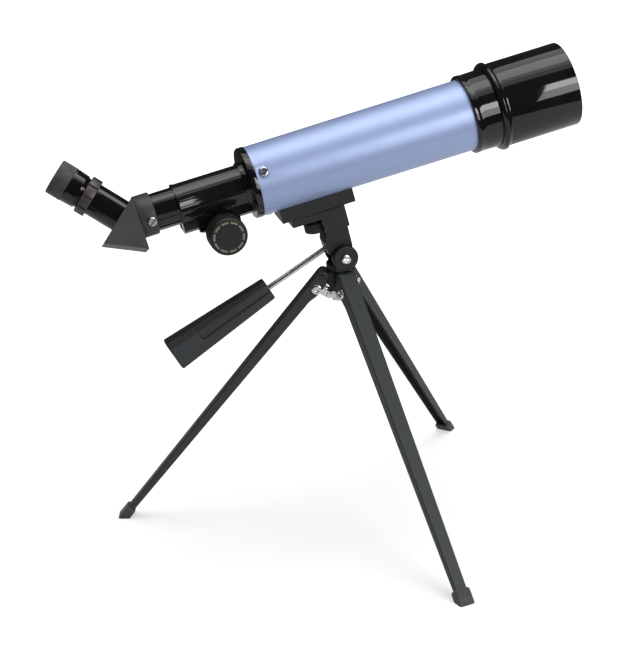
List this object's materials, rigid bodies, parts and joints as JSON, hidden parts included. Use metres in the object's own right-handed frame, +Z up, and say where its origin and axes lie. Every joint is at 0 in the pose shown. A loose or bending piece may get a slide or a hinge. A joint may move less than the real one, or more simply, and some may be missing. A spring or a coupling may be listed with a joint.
{
  "type": "table-top refractor telescope",
  "caption": "Small refractor telescope with an angled diagonal and rack focuser, on a pan and tilt head with a folding three-leg table stand.",
  "frame": {"origin": "bottom centre of the whole object's box, on the surface the feet stand on", "axes": "+X along the tube towards the objective, level; +Y to the left of a user who looks along +X; +Z up"},
  "size_m": [0.407, 0.3052, 0.3649],
  "materials": {
    "tube_blue": "pearl metallic paint",
    "gloss_black": "glossy",
    "matte_black": "satin moulded",
    "arm_black": "satin moulded, darker",
    "knob_black": "satin, knurled",
    "grip_charcoal": "satin moulded",
    "grip_brown": "satin ribbed",
    "mark_paint": "printed dashes, raised",
    "leg_black": "fine crinkle paint on pressed steel",
    "steel_black": "blackened",
    "steel": "bright zinc",
    "brass": "machined",
    "chrome": "polished",
    "rubber_black": "matte rubber",
    "lens_glass": "coated lens",
    "mirror": "front-silvered"
  },
  "bodies": {
    "stand": {"tripod_hub": "arm_black", "hinge_pins": "steel_black"},
    "pan_head": {"pan_fork": "arm_black", "pan_bolt": "steel", "pan_nut": "steel", "tilt_bolt": "chrome", "tilt_nut": "steel"},
    "scope": {"tilt_arm": "arm_black", "tube_saddle": "arm_black", "saddle_nut": "brass", "saddle_screws": "steel", "main_tube": "tube_blue", "tube_screws": "chrome", "tube_baffle": "matte_black", "objective_cell": "gloss_black", "objective_crown": "lens_glass", "objective_flint": "lens_glass", "lens_retainer": "matte_black", "dew_shield": "gloss_black", "focuser_housing": "gloss_black", "pinion_cover": "gloss_black", "cover_screws": "steel"},
    "pan_handle": {"handle_rod": "chrome", "handle_grip": "grip_charcoal"},
    "mount_screw": {"mount_knob": "knob_black", "mount_stud": "steel"},
    "focus_drive": {"focus_axle": "steel", "focus_pinion": "brass", "focus_knob_left": "knob_black", "focus_knob_right": "knob_black", "knob_marks": "mark_paint"},
    "drawtube": {"drawtube": "gloss_black", "focus_rack": "matte_black", "drawtube_collar": "matte_black", "collar_screw": "chrome"},
    "diagonal": {"diagonal_case": "matte_black", "diagonal_covers": "matte_black", "diagonal_mirror": "mirror", "diagonal_nosepiece": "chrome"},
    "eyepiece": {"eyepiece_barrel": "gloss_black", "eyepiece_grip_ring": "grip_brown", "eyepiece_top": "gloss_black", "eyecup": "rubber_black", "field_lens": "lens_glass", "eye_lens": "lens_glass"},
    "spider": {"brace_spider": "chrome", "link_pins": "chrome"},
    "leg_1": {"leg_1": "leg_black", "foot_1": "rubber_black", "brace_rivet_1": "chrome"},
    "link_1": {"brace_link_1": "chrome"},
    "leg_2": {"leg_2": "leg_black", "foot_2": "rubber_black", "brace_rivet_2": "chrome"},
    "link_2": {"brace_link_2": "chrome"},
    "leg_3": {"leg_3": "leg_black", "foot_3": "rubber_black", "brace_rivet_3": "chrome"},
    "link_3": {"brace_link_3": "chrome"}
  },
  "joints": [
    {"name": "leg_1_fold", "type": "hinge", "parent": "stand", "child": "leg_1", "pos_m": [0.00162, 0.02796, 0.20235], "axis": [-0.2874, -0.9578, 0], "range_deg": [0, 38]},
    {"name": "link_1_swing", "type": "hinge", "parent": "leg_1", "child": "link_1", "pos_m": [-0.00296, 0.02933, 0.1927], "axis": [-0.2874, -0.9578, 0], "range_deg": [-84.01, 0]},
    {"name": "leg_2_fold", "type": "hinge", "parent": "stand", "child": "leg_2", "pos_m": [0.01552, 0.01321, 0.20235], "axis": [0.9732, 0.23, 0], "range_deg": [0, 38]},
    {"name": "link_2_swing", "type": "hinge", "parent": "leg_2", "child": "link_2", "pos_m": [0.01661, 0.00856, 0.1927], "axis": [0.9732, 0.23, 0], "range_deg": [-84.01, 0]},
    {"name": "leg_3_fold", "type": "hinge", "parent": "stand", "child": "leg_3", "pos_m": [0.02134, 0.03262, 0.20235], "axis": [-0.6858, 0.7278, 0], "range_deg": [0, 38]},
    {"name": "link_3_swing", "type": "hinge", "parent": "leg_3", "child": "link_3", "pos_m": [0.02482, 0.0359, 0.1927], "axis": [-0.6858, 0.7278, 0], "range_deg": [-84.01, 0]},
    {"name": "spider_slide", "type": "slide", "parent": "stand", "child": "spider", "axis": [0, 0, 1], "range_m": [-0.00606, 0]},
    {"name": "pan", "type": "hinge", "parent": "stand", "child": "pan_head", "pos_m": [0.01282, 0.0246, 0.2085], "axis": [0, 0, 1], "continuous": true},
    {"name": "tilt", "type": "hinge", "parent": "pan_head", "child": "scope", "pos_m": [0.01592, 0.0246, 0.2185], "axis": [0, -1, 0], "range_deg": [-45, 15]},
    {"name": "handle_twist", "type": "hinge", "parent": "scope", "child": "pan_handle", "pos_m": [0.00552, 0.0246, 0.2256], "axis": [-0.8686, 0, -0.4955], "range_deg": [0, 360]},
    {"name": "mount_screw_turn", "type": "hinge", "parent": "scope", "child": "mount_screw", "pos_m": [-0.00576, 0.0246, 0.25163], "axis": [-0.1942, 0, 0.981], "continuous": true},
    {"name": "focus_travel", "type": "slide", "parent": "scope", "child": "drawtube", "axis": [-0.981, 0, -0.1942], "range_m": [-0.016, 0.026]},
    {"name": "focus_spin", "type": "hinge", "parent": "scope", "child": "focus_drive", "pos_m": [-0.07851, 0.0246, 0.25455], "axis": [0, -1, 0], "range_deg": [-168, 272]},
    {"name": "diagonal_swivel", "type": "hinge", "parent": "drawtube", "child": "diagonal", "pos_m": [-0.13972, 0.0246, 0.2666], "axis": [0.981, 0, 0.1942], "continuous": true},
    {"name": "eyepiece_draw", "type": "slide", "parent": "diagonal", "child": "eyepiece", "axis": [-0.7764, 0.319, 0.5435], "range_m": [0, 0.005]}
  ],
  "couplings": [
    {"joint": "link_1_swing", "follows": "leg_1_fold", "ratio": -2.2056},
    {"joint": "leg_2_fold", "follows": "leg_1_fold", "ratio": 1},
    {"joint": "link_2_swing", "follows": "leg_1_fold", "ratio": -2.2056},
    {"joint": "leg_3_fold", "follows": "leg_1_fold", "ratio": 1},
    {"joint": "link_3_swing", "follows": "leg_1_fold", "ratio": -2.2056},
    {"joint": "spider_slide", "follows": "leg_1_fold", "m_per_rad": -0.0089917},
    {"joint": "focus_spin", "follows": "focus_travel", "rad_per_m": 181.82}
  ]
}
